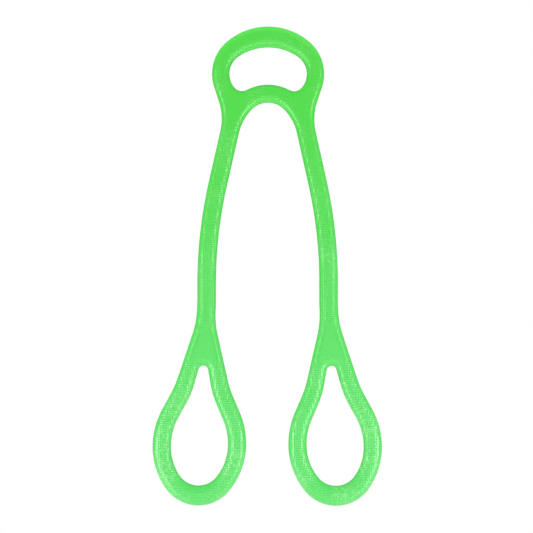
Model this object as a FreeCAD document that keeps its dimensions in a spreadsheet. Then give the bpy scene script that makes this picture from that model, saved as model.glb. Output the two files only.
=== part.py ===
"""Stretch puller moulded in one piece of soft rubber: a hand grip, two straps and two loops.

The moulding hangs upright in the XZ plane with its thickness along Y. The origin is the middle of
the underside of the grip's crown, where the hand pulls. Each limb of the moulding is a sub-part of
its own, and a limb that bends, stretches or twists away from its neighbour meets it at a seat or a
flat face with a small gap. Lengths are in millimetres and angles in degrees.
"""
import FreeCAD, Part
import math
import os
import re

import Sketcher

TOLERANCE = 1e-3
SMALLEST_CUT = 1.0
PLANE_OF_MOULDING = "XZ_Plane"
PLANE_ALONG_STRAP = "YZ_Plane"

# Kinds of outline side: a straight side that gets rounded, or a cut that stays square because the
# next limb continues behind it. An arc is a (turn, radius) pair.
STRAIGHT = "straight"
CUT = "cut"

# Name, value and meaning of each size that is set by itself.
DRIVING_SIZES = [
    ("thickness", 15.0, "moulding, front to back"),
    ("parting_flat", 0.6, "flat left between the front and back roundings"),
    ("joint_gap", 0.3, "gap between limbs that move apart"),
    ("grip_width", 105.3, "grip, across"),
    ("grip_rise", 44.5, "top of the grip down to its widest level"),
    ("crown_width", 19.3, "grip band at the top"),
    ("grip_side_width", 15.95, "grip band at its widest level"),
    ("flank_lean", 18.0, "grip flank below the widest level, from upright"),
    ("waist_radius", 52.0, "hollow between the grip flank and the strap"),
    ("bridge_sag", 10.3, "widest level of the grip down to the top of the bridge"),
    ("bridge_top_radius", 43.0, "hump of the bridge"),
    ("bridge_width", 16.6, "bridge band at the middle"),
    ("bridge_half_angle", 18.0, "half of the arc that the bridge limb spans"),
    ("corner_radius", 9.5, "lower corners of the hand opening"),
    ("crotch_ease", 3.73, "how much tighter the crotch is than the space between the straps"),
    ("crotch_side_radius", 48.0, "crotch where it runs into the straps"),
    ("strap_width", 17.2, "strap band"),
    ("strap_lean", 12.7, "upper strap, from upright"),
    ("hip_inset", 14.75, "grip's widest point in to the swing axis"),
    ("hip_drop", 35.8, "crotch down to the swing axis"),
    ("thigh_length", 41.3, "swing axis to fold axis"),
    ("strap_bend_radius", 430.0, "centre line of the bent stretch of strap"),
    ("shank_length", 20.0, "end of the bend to the tilt axis"),
    ("swing_seat_angle", 60.0, "half of the arc of a swing seat"),
    ("fold_seat_angle", 42.0, "half of the arc of a fold or tilt seat"),
    ("loop_lean", 2.8, "loop, outwards from upright"),
    ("loop_drop", 133.0, "tilt axis down to the loop's widest level"),
    ("loop_width", 87.8, "loop, across"),
    ("toe_drop", 56.5, "widest level of the loop down to its lowest point"),
    ("ring_width", 16.85, "loop band at the sides"),
    ("toe_width", 18.5, "loop band at the bottom"),
    ("loop_fullness", 1.463, "lean of the loop's shoulder against the chord below the neck"),
    ("flare_drop", 17.1, "tilt axis down to where the strap starts to flare"),
    ("flare_bend_drop", 78.4, "tilt axis down to the bend in the flare"),
    ("flare_bend_spread", 25.7, "half width of the neck at the bend in the flare"),
    ("flare_radius", 85.0, "hollow at the start of the flare"),
    ("flare_bend_radius", 92.0, "hollow at the bend in the flare"),
    ("fork_bend_rise", 48.3, "widest level of the loop up to the bend in its opening"),
    ("fork_bend_radius", 90.0, "bend in the loop's opening"),
    ("fork_top_rise", 75.6, "widest level of the loop up to the top of its opening"),
    ("fork_round", 4.86, "top of the loop's opening"),
]


def oval_cells(name, half_width, half_height):
    """Derived sizes of a four-centre oval: its two radii and the point where its arcs join."""
    diagonal = f"{name}_diagonal"
    side = f"{name}_side_radius"
    end = f"{name}_end_radius"
    skew = f"({half_height} - {half_width})"
    return [
        (f"{name}_half_width", half_width),
        (f"{name}_half_height", half_height),
        (diagonal, f"sqrt(({half_width})^2 + ({half_height})^2)"),
        (side, f"({diagonal} + {skew}) / 2 * {diagonal} / ({half_width})"),
        (end, f"({diagonal} - {skew}) / 2 * {diagonal} / ({half_height})"),
        (f"{name}_side_centre", f"{half_width} - {side}"),
        (f"{name}_join_x", f"{half_width} - {side} + {side} * ({half_height}) / {diagonal}"),
        (f"{name}_join_rise", f"{side} * ({half_width}) / {diagonal}"),
    ]


# Name and formula of each size that follows from others. Heights are measured up from the origin,
# and a point's x is measured outwards from the middle of the moulding.
DERIVED_SIZES = [
    ("half_strap", "strap_width / 2"),
    ("hip_spread", "grip_width / 2 - hip_inset"),
    ("slimmest", "min(thickness; min(strap_width; min(ring_width; min(grip_side_width; bridge_width))))"),
    ("edge_round", "(slimmest - parting_flat) / 2"),
    ("swing_seat", "half_strap / sin(swing_seat_angle)"),
    ("fold_seat", "thickness / 2 / sin(fold_seat_angle)"),
    # Grip.
    ("spring_level", "-(grip_rise - crown_width)"),
    *oval_cells("grip", "(grip_width / 2)", "grip_rise"),
    *oval_cells("opening", "(grip_width / 2 - grip_side_width)", "(grip_rise - crown_width)"),
    ("bridge_top", "spring_level - bridge_sag"),
    ("hump_level", "bridge_top - bridge_top_radius"),
    ("crotch_top", "bridge_top - bridge_width"),
    # Swing axis, and the hollow of the waist where the grip's flank meets the strap.
    ("swing_level", "crotch_top - hip_drop"),
    ("waist_reach", "waist_radius * tan((flank_lean + strap_lean) / 2)"),
    ("waist_offset",
     "half_strap + (hip_spread - grip_side_centre) * cos(strap_lean)"
     " + (swing_level - spring_level) * sin(strap_lean)"),
    ("waist_x",
     "grip_side_centre + (grip_side_radius * sin(strap_lean) + waist_offset * sin(flank_lean))"
     " / sin(flank_lean + strap_lean)"),
    ("waist_level",
     "spring_level + (waist_offset * cos(flank_lean) - grip_side_radius * cos(strap_lean))"
     " / sin(flank_lean + strap_lean)"),
    # Crotch: a round top that runs into the straps through two flatter arcs.
    ("crotch_radius",
     "(hip_spread * cos(strap_lean) - hip_drop * sin(strap_lean) - half_strap - crotch_ease)"
     " / (1 - sin(strap_lean))"),
    ("crotch_level", "crotch_top - crotch_radius"),
    ("crotch_back", "crotch_side_radius - crotch_radius - crotch_ease"),
    ("crotch_down", "sqrt((crotch_side_radius - crotch_radius)^2 - crotch_back^2)"),
    ("crotch_side_x", "crotch_down * sin(strap_lean) - crotch_back * cos(strap_lean)"),
    ("crotch_side_level", "crotch_level - crotch_back * sin(strap_lean) - crotch_down * cos(strap_lean)"),
    ("crotch_share", "crotch_radius / (crotch_side_radius - crotch_radius)"),
    # Lower corner of the hand opening: it touches the opening's side and the bridge's hump.
    ("corner_from_side", "opening_side_radius - corner_radius"),
    ("corner_from_hump", "bridge_top_radius + corner_radius"),
    ("hump_depth", "spring_level - hump_level"),
    ("hump_distance", "sqrt(opening_side_centre^2 + hump_depth^2)"),
    ("corner_along", "(corner_from_side^2 - corner_from_hump^2 + hump_distance^2) / (2 * hump_distance)"),
    ("corner_across", "sqrt(corner_from_side^2 - corner_along^2)"),
    ("corner_x",
     "opening_side_centre + (corner_across * hump_depth - corner_along * opening_side_centre)"
     " / hump_distance"),
    ("corner_level",
     "spring_level - (corner_along * hump_depth + corner_across * opening_side_centre) / hump_distance"),
    # Straps.
    ("fold_x", "hip_spread + thigh_length * sin(strap_lean)"),
    ("fold_level", "swing_level - thigh_length * cos(strap_lean)"),
    ("bend_x", "fold_x - strap_bend_radius * cos(strap_lean)"),
    ("bend_level", "fold_level - strap_bend_radius * sin(strap_lean)"),
    ("outer_bend", "strap_bend_radius + half_strap"),
    ("inner_bend", "strap_bend_radius - half_strap"),
    ("stretch_angle", "strap_lean / 2"),
    ("gap_angle", "360 * joint_gap / (2 * pi * strap_bend_radius)"),
    ("fold_overrun", "fold_seat / cos(strap_lean) + half_strap * tan(strap_lean)"),
    ("strap_spread", "bend_x + strap_bend_radius"),
    ("tilt_level", "bend_level - shank_length"),
    # Loops. Rises are measured up from the loop's widest level, along the loop.
    ("loop_x", "strap_spread + loop_drop * sin(loop_lean)"),
    ("loop_level", "tilt_level - loop_drop * cos(loop_lean)"),
    *oval_cells("loop", "(loop_width / 2)", "toe_drop"),
    *oval_cells("eye", "(loop_width / 2 - ring_width)", "(toe_drop - toe_width)"),
    ("neck_top_rise", "loop_drop + fold_seat / cos(loop_lean) + half_strap * tan(loop_lean)"),
    ("flare_rise", "loop_drop - flare_drop"),
    ("flare_bend_rise", "loop_drop - flare_bend_drop"),
    ("ring_lean", "atan(loop_fullness * (loop_half_width - flare_bend_spread) / flare_bend_rise)"),
    ("ring_radius",
     "(flare_bend_spread * cos(ring_lean) + flare_bend_rise * sin(ring_lean)"
     " - loop_half_width * cos(ring_lean)) / (1 - cos(ring_lean))"),
    ("ring_centre", "loop_half_width - ring_radius"),
    ("ring_inner_radius", "ring_radius - ring_width"),
    ("flare_lean", "atan((flare_bend_spread - half_strap) / (flare_rise - flare_bend_rise))"),
    ("flare_reach", "flare_radius * tan(flare_lean / 2)"),
    ("flare_bend_reach", "flare_bend_radius * tan((ring_lean - flare_lean) / 2)"),
    ("fork_bend_spread",
     "(ring_centre * cos(ring_lean) + ring_inner_radius - fork_bend_rise * sin(ring_lean))"
     " / cos(ring_lean)"),
    ("fork_round_rise", "fork_top_rise - fork_round"),
    ("fork_side", "sqrt(fork_bend_spread^2 + (fork_round_rise - fork_bend_rise)^2)"),
    ("fork_lean",
     "atan(fork_bend_spread / (fork_round_rise - fork_bend_rise)) - asin(fork_round / fork_side)"),
    ("fork_bend_reach", "fork_bend_radius * tan((ring_lean - fork_lean) / 2)"),
]


def bulge(radius):
    """An outline side that bows outwards."""
    return 1, radius


def hollow(radius):
    """An outline side that bows inwards."""
    return -1, radius


def leaning(across, rise, lean):
    """Expressions for a point given across and up a limb that leans outwards going down."""
    x = f"({across}) * cos({lean}) - ({rise}) * sin({lean})"
    z = f"({across}) * sin({lean}) + ({rise}) * cos({lean})"
    return x, z


def polar(radius, angle):
    """Expressions for a point on an arc about the origin of its limb."""
    return f"({radius}) * cos({angle})", f"({radius}) * sin({angle})"


def shifted(point, across, rise):
    """Expressions for a point moved across and up."""
    return f"{point[0]} + ({across})", f"{point[1]} + ({rise})"


def mirrored(point):
    """Expressions for the same point on the other side of the middle."""
    return f"-({point[0]})", point[1]


def flipped(corners):
    """The mirror image of an outline, corner by corner."""
    return [
        (mirrored(point), (-kind[0], kind[1]) if isinstance(kind, tuple) else kind)
        for point, kind in corners
    ]


def other_half(corners, last_kind):
    """The mirror image of a run of corners, walked on from its end; its last side is given."""
    points = [mirrored(point) for point, _ in reversed(corners)]
    kinds = [kind for _, kind in reversed(corners[:-1])] + [last_kind]
    return list(zip(points, kinds))


doc = FreeCAD.newDocument("stretch_puller")
sheet = doc.addObject("Spreadsheet::Sheet", "Sizes")

names = []
row = 0
for name, value, meaning in DRIVING_SIZES:
    row += 1
    sheet.set(f"A{row}", name)
    sheet.set(f"B{row}", str(value))
    sheet.set(f"C{row}", meaning)
    sheet.setAlias(f"B{row}", name)
    names.append(name)
for name, formula in DERIVED_SIZES:
    row += 1
    sheet.set(f"A{row}", name)
    sheet.set(f"B{row}", "=" + formula)
    sheet.setAlias(f"B{row}", name)
    names.append(name)
doc.recompute()

ALIAS = re.compile(r"\b(" + "|".join(names) + r")\b")


def bound(text):
    """The expression with every size's name pointed at the sheet."""
    return ALIAS.sub(r"Sizes.\1", text)


def number(text):
    """The present value of an expression."""
    value = sheet.evalExpression(text)
    return float(getattr(value, "Value", value))


class Limb:
    """One limb of the moulding: a body that is padded from an outline, rounded, then seated."""

    def __init__(self, label, x="0", z="0", side=1):
        """Start a body at (x, z); side -1 makes the left-hand copy."""
        self.label = label
        self.side = side
        self.body = doc.addObject("PartDesign::Body", label)
        self.body.Label = label
        self.body.setExpression("Placement.Base.x", bound(self.outward(x)))
        self.body.setExpression("Placement.Base.z", bound(z))

    def outward(self, x):
        """An expression for x on this limb's own side of the moulding."""
        return x if self.side > 0 else f"-({x})"

    def handed(self, corners, plane):
        """The outline for this limb's own side; only the plane of the moulding shows a side."""
        return flipped(corners) if self.side < 0 and plane == PLANE_OF_MOULDING else corners

    def sketch(self, name, plane):
        """A new sketch on one of the body's own origin planes."""
        sketch = self.body.newObject("Sketcher::SketchObject", f"{self.label}_{name}")
        planes = [feature for feature in self.body.Origin.OriginFeatures if feature.Role == plane]
        sketch.AttachmentSupport = [(planes[0], "")]
        sketch.MapMode = "FlatFace"
        return sketch

    def draw(self, sketch, corners):
        """Draw a closed outline whose corners and radii are bound to the sheet."""
        points = [FreeCAD.Vector(number(x), number(z), 0) for (x, z), _ in corners]
        ends = []
        for index, (_, kind) in enumerate(corners):
            start = points[index]
            end = points[(index + 1) % len(points)]
            if isinstance(kind, tuple):
                ends.append(self.add_arc(sketch, start, end, kind[0], kind[1]))
            else:
                geometry = sketch.addGeometry(Part.LineSegment(start, end))
                ends.append((geometry, 1, 2))
        for index, ((x, z), _) in enumerate(corners):
            geometry, first, _ = ends[index]
            previous, _, last = ends[index - 1]
            point = points[index]
            sketch.addConstraint(Sketcher.Constraint("Coincident", previous, last, geometry, first))
            for direction, value, text in (("DistanceX", point.x, x), ("DistanceY", point.y, z)):
                constraint = Sketcher.Constraint(direction, -1, 1, geometry, first, value)
                placed = sketch.addConstraint(constraint)
                sketch.setExpression(f"Constraints[{placed}]", bound(text))

    def add_arc(self, sketch, start, end, turn, radius):
        """Add the arc from start to end that turns left (1) or right (-1)."""
        value = number(radius)
        chord = end - start
        sagitta_leg = math.sqrt(value**2 - (chord.Length / 2) ** 2)
        normal = FreeCAD.Vector(-chord.y, chord.x, 0).normalize() * turn
        centre = (start + end) / 2 + normal * sagitta_leg
        circle = Part.Circle(centre, FreeCAD.Vector(0, 0, 1), value)
        angles = [math.atan2(point.y - centre.y, point.x - centre.x) for point in (start, end)]
        if turn < 0:
            angles.reverse()
        geometry = sketch.addGeometry(Part.ArcOfCircle(circle, angles[0], angles[1]))
        placed = sketch.addConstraint(Sketcher.Constraint("Radius", geometry, value))
        sketch.setExpression(f"Constraints[{placed}]", bound(radius))
        return (geometry, 1, 2) if turn > 0 else (geometry, 2, 1)

    def mould(self, corners):
        """Pad the outline to the moulding's thickness and round every side that isn't a cut."""
        corners = self.handed(corners, PLANE_OF_MOULDING)
        sketch = self.sketch("outline", PLANE_OF_MOULDING)
        self.draw(sketch, corners)
        pad = self.body.newObject("PartDesign::Pad", f"{self.label}_pad")
        pad.Profile = sketch
        pad.SideType = "Symmetric"
        pad.setExpression("Length", "Sizes.thickness")
        doc.recompute()
        rounding = self.body.newObject("PartDesign::Fillet", f"{self.label}_rounding")
        rounding.Base = (pad, self.rounded_edges(pad, corners))
        rounding.setExpression("Radius", "Sizes.edge_round")
        doc.recompute()
        return self

    def rounded_edges(self, pad, corners):
        """Names of the pad's front and back edges that don't border a cut."""
        cuts = []
        for index, (start, kind) in enumerate(corners):
            if kind == CUT:
                end = corners[(index + 1) % len(corners)][0]
                middle = [(number(start[axis]) + number(end[axis])) / 2 for axis in (0, 1)]
                cuts.append(FreeCAD.Vector(middle[0], 0, middle[1]))
        half = number("thickness / 2")
        edges = []
        for index, edge in enumerate(pad.Shape.Edges, 1):
            middle = edge.valueAt((edge.FirstParameter + edge.LastParameter) / 2)
            on_face = abs(abs(middle.y) - half) < TOLERANCE
            flat = FreeCAD.Vector(middle.x, 0, middle.z)
            if on_face and all((flat - cut).Length > TOLERANCE for cut in cuts):
                edges.append(f"Edge{index}")
        return edges

    def pocket(self, name, plane, corners):
        """Cut the outline right through the limb, both ways from the plane."""
        before = self.body.Shape.Volume
        sketch = self.sketch(name, plane)
        self.draw(sketch, self.handed(corners, plane))
        pocket = self.body.newObject("PartDesign::Pocket", f"{self.label}_{name}_cut")
        pocket.Profile = sketch
        pocket.SideType = "Symmetric"
        pocket.Type = "ThroughAll"
        doc.recompute()
        if self.body.Shape.Volume > before - SMALLEST_CUT:
            raise RuntimeError(f"{self.label}: {name} cuts nothing")
        return self

    def seat(self, name, plane, radius, across="0", rise="0"):
        """Cut a round seat, one joint gap wider than the rounded end that turns in it."""
        reach = f"({radius} + joint_gap)"
        top = (across, f"{rise} + {reach}")
        bottom = (across, f"{rise} - {reach}")
        left = (f"{across} - {reach}", rise)
        right = (f"{across} + {reach}", rise)
        corners = [(point, bulge(reach)) for point in (right, top, left, bottom)]
        return self.pocket(name, plane, corners)

    def round_end(self, name, plane, radius, lean="0", rise="0"):
        """Cut everything above an axis back to a half round about it."""
        clear = f"2 * {radius}"
        corners = [
            (leaning(radius, "0", lean), bulge(radius)),
            (leaning("0", radius, lean), bulge(radius)),
            (leaning(f"-{radius}", "0", lean), STRAIGHT),
            (leaning(f"-({clear})", "0", lean), STRAIGHT),
            (leaning(f"-({clear})", clear, lean), STRAIGHT),
            (leaning(clear, clear, lean), STRAIGHT),
            (leaning(clear, "0", lean), STRAIGHT),
        ]
        return self.pocket(name, plane, [(shifted(point, "0", rise), kind) for point, kind in corners])


# Points that neighbouring limbs share.
crown_outer = ("grip_join_x", "spring_level + grip_join_rise")
crown_inner = ("opening_join_x", "spring_level + opening_join_rise")
side_outer = ("grip_half_width", "spring_level")
side_inner = ("opening_half_width", "spring_level")
hump_cut = (
    "bridge_top_radius * sin(bridge_half_angle)",
    "hump_level + bridge_top_radius * cos(bridge_half_angle)",
)
crotch_cut = (
    "crotch_radius * sin(bridge_half_angle)",
    "crotch_level + crotch_radius * cos(bridge_half_angle)",
)
ring_outer = ("ring_centre + ring_radius * cos(ring_lean)", "ring_radius * sin(ring_lean)")
ring_inner = ("ring_centre + ring_inner_radius * cos(ring_lean)", "ring_inner_radius * sin(ring_lean)")
toe_outer = ("loop_join_x", "-loop_join_rise")
toe_inner = ("eye_join_x", "-eye_join_rise")


def grip_crown():
    """The top of the grip, which the hand pulls down on."""
    return Limb("grip_crown").mould([
        (crown_outer, bulge("grip_end_radius")),
        (mirrored(crown_outer), CUT),
        (mirrored(crown_inner), hollow("opening_end_radius")),
        (crown_inner, CUT),
    ])


def grip_bridge():
    """The humped bar across the bottom of the hand opening."""
    return Limb("grip_bridge").mould([
        (mirrored(crotch_cut), hollow("crotch_radius")),
        (crotch_cut, CUT),
        (hump_cut, bulge("bridge_top_radius")),
        (mirrored(hump_cut), CUT),
    ])


def grip_side(hand, side):
    """The grip's side, from the crown down to the widest level."""
    return Limb(f"{hand}_grip_side", side=side).mould([
        (side_outer, bulge("grip_side_radius")),
        (crown_outer, CUT),
        (crown_inner, hollow("opening_side_radius")),
        (side_inner, CUT),
    ])


def shoulder(hand, side):
    """The web where the grip's side, the bridge and the strap run together."""
    outer_foot = shifted(leaning("half_strap", "0", "strap_lean"), "hip_spread", "swing_level")
    inner_foot = shifted(leaning("-half_strap", "0", "strap_lean"), "hip_spread", "swing_level")
    limb = Limb(f"{hand}_shoulder", side=side).mould([
        (outer_foot, STRAIGHT),
        (
            ("waist_x + waist_reach * sin(strap_lean)", "waist_level - waist_reach * cos(strap_lean)"),
            hollow("waist_radius"),
        ),
        (
            ("waist_x + waist_reach * sin(flank_lean)", "waist_level + waist_reach * cos(flank_lean)"),
            STRAIGHT,
        ),
        (
            (
                "grip_side_centre + grip_side_radius * cos(flank_lean)",
                "spring_level - grip_side_radius * sin(flank_lean)",
            ),
            bulge("grip_side_radius"),
        ),
        (side_outer, CUT),
        (side_inner, hollow("opening_side_radius")),
        (
            (
                "opening_side_centre"
                " + opening_side_radius * (corner_x - opening_side_centre) / corner_from_side",
                "spring_level + opening_side_radius * (corner_level - spring_level) / corner_from_side",
            ),
            hollow("corner_radius"),
        ),
        (
            (
                "bridge_top_radius * corner_x / corner_from_hump",
                "hump_level + bridge_top_radius * (corner_level - hump_level) / corner_from_hump",
            ),
            bulge("bridge_top_radius"),
        ),
        (hump_cut, CUT),
        (crotch_cut, hollow("crotch_radius")),
        (
            (
                "-crotch_share * crotch_side_x",
                "crotch_level + crotch_share * (crotch_level - crotch_side_level)",
            ),
            hollow("crotch_side_radius"),
        ),
        (
            (
                "crotch_side_x + crotch_side_radius * cos(strap_lean)",
                "crotch_side_level + crotch_side_radius * sin(strap_lean)",
            ),
            STRAIGHT,
        ),
        (inner_foot, CUT),
    ])
    return limb.seat("swing_seat", PLANE_OF_MOULDING, "swing_seat", "hip_spread", "swing_level")


def strap_root(hand, side):
    """The straight top of the strap: it swings in the shoulder and carries the fold seat."""
    limb = Limb(f"{hand}_strap_root", "hip_spread", "swing_level", side).mould([
        (leaning("half_strap", "-thigh_length", "strap_lean"), STRAIGHT),
        (leaning("half_strap", "swing_seat", "strap_lean"), CUT),
        (leaning("-half_strap", "swing_seat", "strap_lean"), STRAIGHT),
        (leaning("-half_strap", "-thigh_length", "strap_lean"), CUT),
    ])
    limb.round_end("swing_end", PLANE_OF_MOULDING, "swing_seat", "strap_lean")
    return limb.seat("fold_seat", PLANE_ALONG_STRAP, "fold_seat", rise="-thigh_length * cos(strap_lean)")


def strap_upper(hand, side):
    """The upper half of the strap's bend, which folds on the root."""
    overrun = ("-fold_overrun * sin(strap_lean)", "fold_overrun * cos(strap_lean)")
    limb = Limb(f"{hand}_strap_upper", "bend_x", "bend_level", side).mould([
        (polar("outer_bend", "stretch_angle"), bulge("outer_bend")),
        (polar("outer_bend", "strap_lean"), STRAIGHT),
        (shifted(polar("outer_bend", "strap_lean"), *overrun), CUT),
        (shifted(polar("inner_bend", "strap_lean"), *overrun), STRAIGHT),
        (polar("inner_bend", "strap_lean"), hollow("inner_bend")),
        (polar("inner_bend", "stretch_angle"), CUT),
    ])
    return limb.round_end("fold_end", PLANE_ALONG_STRAP, "fold_seat", rise="fold_level - bend_level")


def strap_lower(hand, side):
    """The lower half of the strap's bend, which draws away from the upper half."""
    return Limb(f"{hand}_strap_lower", "bend_x", "bend_level", side).mould([
        (polar("outer_bend", "0"), bulge("outer_bend")),
        (polar("outer_bend", "stretch_angle - gap_angle"), CUT),
        (polar("inner_bend", "stretch_angle - gap_angle"), hollow("inner_bend")),
        (polar("inner_bend", "0"), CUT),
    ])


def strap_end(hand, side):
    """The short straight end of the strap: it twists, and carries the tilt seat."""
    limb = Limb(f"{hand}_strap_end", "strap_spread", "tilt_level", side).mould([
        (("half_strap", "0"), STRAIGHT),
        (("half_strap", "shank_length - joint_gap"), CUT),
        (("-half_strap", "shank_length - joint_gap"), STRAIGHT),
        (("-half_strap", "0"), CUT),
    ])
    return limb.seat("tilt_seat", PLANE_ALONG_STRAP, "fold_seat")


def loop_neck(hand, side):
    """The fork where the strap widens and splits into the two sides of the loop."""
    flank = [
        (ring_outer, STRAIGHT),
        (
            (
                "flare_bend_spread + flare_bend_reach * sin(ring_lean)",
                "flare_bend_rise - flare_bend_reach * cos(ring_lean)",
            ),
            hollow("flare_bend_radius"),
        ),
        (
            (
                "flare_bend_spread - flare_bend_reach * sin(flare_lean)",
                "flare_bend_rise + flare_bend_reach * cos(flare_lean)",
            ),
            STRAIGHT,
        ),
        (
            ("half_strap + flare_reach * sin(flare_lean)", "flare_rise - flare_reach * cos(flare_lean)"),
            hollow("flare_radius"),
        ),
        (("half_strap", "flare_rise + flare_reach"), STRAIGHT),
        (("half_strap", "neck_top_rise"), CUT),
    ]
    crutch = [
        (("fork_round * cos(fork_lean)", "fork_round_rise + fork_round * sin(fork_lean)"), STRAIGHT),
        (
            (
                "fork_bend_spread - fork_bend_reach * sin(fork_lean)",
                "fork_bend_rise + fork_bend_reach * cos(fork_lean)",
            ),
            bulge("fork_bend_radius"),
        ),
        (
            (
                "fork_bend_spread + fork_bend_reach * sin(ring_lean)",
                "fork_bend_rise - fork_bend_reach * cos(ring_lean)",
            ),
            STRAIGHT,
        ),
        (ring_inner, CUT),
    ]
    outline = flank + other_half(flank, CUT) + other_half(crutch, hollow("fork_round")) + crutch
    placed = [(leaning(x, z, "loop_lean"), kind) for (x, z), kind in outline]
    limb = Limb(f"{hand}_loop_neck", "loop_x", "loop_level", side).mould(placed)
    return limb.round_end("tilt_end", PLANE_ALONG_STRAP, "fold_seat", rise="tilt_level - loop_level")


def loop_side(hand, side, name, facing):
    """One side of the loop, from the fork past the widest level to the toe."""
    outline = [
        (toe_outer, bulge("loop_side_radius")),
        (("loop_half_width", "0"), bulge("ring_radius")),
        (ring_outer, CUT),
        (ring_inner, hollow("ring_inner_radius")),
        (("eye_half_width", "0"), hollow("eye_side_radius")),
        (toe_inner, CUT),
    ]
    if facing < 0:
        outline = flipped(outline)
    placed = [(leaning(x, z, "loop_lean"), kind) for (x, z), kind in outline]
    return Limb(f"{hand}_loop_{name}", "loop_x", "loop_level", side).mould(placed)


def loop_toe(hand, side):
    """The round bottom of the loop."""
    outline = [
        (mirrored(toe_outer), bulge("loop_end_radius")),
        (toe_outer, CUT),
        (toe_inner, hollow("eye_end_radius")),
        (mirrored(toe_inner), CUT),
    ]
    placed = [(leaning(x, z, "loop_lean"), kind) for (x, z), kind in outline]
    return Limb(f"{hand}_loop_toe", "loop_x", "loop_level", side).mould(placed)


limbs = [grip_crown(), grip_bridge()]
for hand, side in (("left", -1), ("right", 1)):
    limbs += [
        grip_side(hand, side),
        shoulder(hand, side),
        strap_root(hand, side),
        strap_upper(hand, side),
        strap_lower(hand, side),
        strap_end(hand, side),
        loop_neck(hand, side),
        loop_side(hand, side, "outer_side", 1),
        loop_side(hand, side, "inner_side", -1),
        loop_toe(hand, side),
    ]
doc.recompute()

for item in doc.Objects:
    if "Invalid" in item.State or "Error" in item.State:
        raise RuntimeError(f"{item.Label} failed: {item.State}")
for limb in limbs:
    shape = limb.body.Shape
    if shape.isNull() or not shape.isValid() or len(shape.Solids) != 1:
        raise RuntimeError(f"{limb.label} has no sound solid")

os.makedirs("parts", exist_ok=True)
for limb in limbs:
    limb.body.Shape.exportStep(f"parts/{limb.label}.step")
    box = limb.body.Shape.BoundBox
    print(f"{limb.label}: {limb.body.Shape.Volume / 1000:.1f} cm3, z {box.ZMin:.1f} to {box.ZMax:.1f}")
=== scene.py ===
"""Skins, finish and studio of a stretch puller moulded in one piece of soft green rubber.

The CAD limbs are the frame, and skins stand for them: one for the grip and five for each hand, each
of which spans one joint. A skin is worked as on the bench, from a flat
outline that is thickened, rounded and given its parting flash. Lengths are in metres and angles in
degrees, in the frame's own axes: the moulding hangs in the XZ plane, with its thickness along Y.
"""

import logging
import math
from dataclasses import dataclass, field
from enum import Enum
from functools import cached_property
from typing import Any, Callable, NamedTuple, Sequence, Union

import bmesh
import bpy
from mathutils import Matrix, Vector


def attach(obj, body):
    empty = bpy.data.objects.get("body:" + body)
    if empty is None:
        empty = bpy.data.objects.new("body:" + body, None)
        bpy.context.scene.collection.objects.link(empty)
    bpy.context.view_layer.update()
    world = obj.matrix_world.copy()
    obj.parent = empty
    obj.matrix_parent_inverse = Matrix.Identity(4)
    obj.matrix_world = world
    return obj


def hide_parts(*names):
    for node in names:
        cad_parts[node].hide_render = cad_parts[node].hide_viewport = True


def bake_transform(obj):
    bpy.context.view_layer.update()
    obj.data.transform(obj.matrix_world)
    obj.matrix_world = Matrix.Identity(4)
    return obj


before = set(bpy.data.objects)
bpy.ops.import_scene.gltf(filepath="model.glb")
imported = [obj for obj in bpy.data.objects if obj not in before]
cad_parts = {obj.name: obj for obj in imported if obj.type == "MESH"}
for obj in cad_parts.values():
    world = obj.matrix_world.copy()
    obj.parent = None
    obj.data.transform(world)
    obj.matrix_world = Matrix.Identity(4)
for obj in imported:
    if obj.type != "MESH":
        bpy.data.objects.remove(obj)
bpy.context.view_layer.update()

MM = 0.001
TOUCH = 0.01 * MM
# The spin operator turns left-handed about its axis, so this one turns anticlockwise seen from the front.
SPIN_AXIS = (0.0, 1.0, 0.0)
REST_PLACE = "rest_place"
LOG = logging.getLogger("stretch_puller")

Point = tuple[float, float]
Band = tuple[float, float]
Colour = tuple[float, float, float]
Piece = bpy.types.Object
Socket = bpy.types.NodeSocket


# --- Flat geometry ---


class Bend(Enum):
    """How a side of an outline runs to its end, walked with the rubber on the left."""

    STRAIGHT = 0
    BULGE = 1
    HOLLOW = -1
    CUT = 2


class Side(NamedTuple):
    """One side of an outline: the point where it ends, and how it runs there."""

    end: Point
    bend: Bend = Bend.STRAIGHT
    radius: float = 0.0


def sine(angle: float) -> float:
    """The sine of an angle in degrees."""
    return math.sin(math.radians(angle))


def cosine(angle: float) -> float:
    """The cosine of an angle in degrees."""
    return math.cos(math.radians(angle))


def tangent(angle: float) -> float:
    """The tangent of an angle in degrees."""
    return math.tan(math.radians(angle))


def plus(first: Point, second: Point) -> Point:
    """The sum of two points."""
    return first[0] + second[0], first[1] + second[1]


def polar(radius: float, angle: float) -> Point:
    """The point at a radius and an angle from the X axis."""
    return radius * cosine(angle), radius * sine(angle)


def leaning(across: float, rise: float, lean: float) -> Point:
    """The point outwards across and up the middle line of a limb that leans outwards going down."""
    return across * cosine(lean) - rise * sine(lean), across * sine(lean) + rise * cosine(lean)


def onward(start: Point, way: Point, distance: float) -> Point:
    """The point at a distance from another along a way."""
    return start[0] + way[0] * distance, start[1] + way[1] * distance


def toward(first: Point, second: Point, share: float) -> Point:
    """The point at a share of the way from one point to another, or past it."""
    return first[0] + share * (second[0] - first[0]), first[1] + share * (second[1] - first[1])


def in_space(point: Point, depth: float = 0.0) -> Vector:
    """A point of the moulding's plane as a vector, at a depth along Y."""
    return Vector((point[0], depth, point[1]))


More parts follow.
